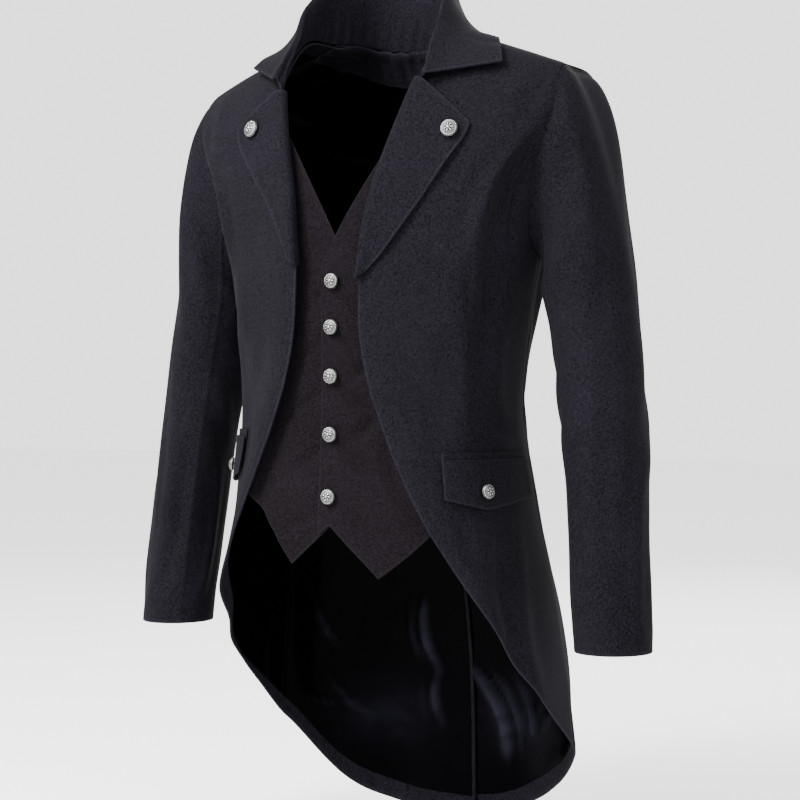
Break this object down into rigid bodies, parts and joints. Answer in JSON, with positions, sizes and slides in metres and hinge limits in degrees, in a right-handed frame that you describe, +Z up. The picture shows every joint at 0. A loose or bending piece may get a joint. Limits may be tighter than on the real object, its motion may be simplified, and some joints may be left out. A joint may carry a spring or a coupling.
{
  "type": "tailcoat",
  "caption": "Hollow worn form of a cutaway tailcoat with notched lapels, a false waistcoat front with a pointed hem, flapped pockets, domed metal buttons and one long back tail",
  "frame": {"origin": "the middle of the shoulder line at the base of the neck, where the wearer carries the coat", "axes": "+Z up along the wearer's back, -Y to the wearer's front, +X to the wearer's left"},
  "size_m": [0.6136, 0.295, 0.9275],
  "materials": {
    "coat": "matte near-black suiting with a fine heathered weave",
    "waistcoat": "matte near-black suiting, a little warmer than the coat",
    "lining": "black satin, softly shining",
    "button": "antique silver-toned pewter, domed, with a raised ornament"
  },
  "bodies": {
    "root": {"back_facing": "coat", "back_left": "coat", "back_right": "coat", "collar": "coat", "flap_button_left": "button", "flap_button_right": "button", "front_left": "coat", "front_right": "coat", "lapel_button_left": "button", "lapel_button_right": "button", "lapel_left": "coat", "lapel_right": "coat", "lining_back_left": "lining", "lining_back_right": "lining", "lining_front_left": "lining", "lining_front_right": "lining", "pocket_flap_left": "coat", "pocket_flap_right": "coat", "pocket_welt_left": "coat", "pocket_welt_right": "coat", "sleeve_top_left": "coat", "sleeve_top_right": "coat", "sleeve_under_left": "coat", "sleeve_under_right": "coat", "waistcoat_button_1": "button", "waistcoat_button_2": "button", "waistcoat_button_3": "button", "waistcoat_button_4": "button", "waistcoat_button_5": "button", "waistcoat_left": "waistcoat", "waistcoat_right": "waistcoat"}
  },
  "joints": []
}
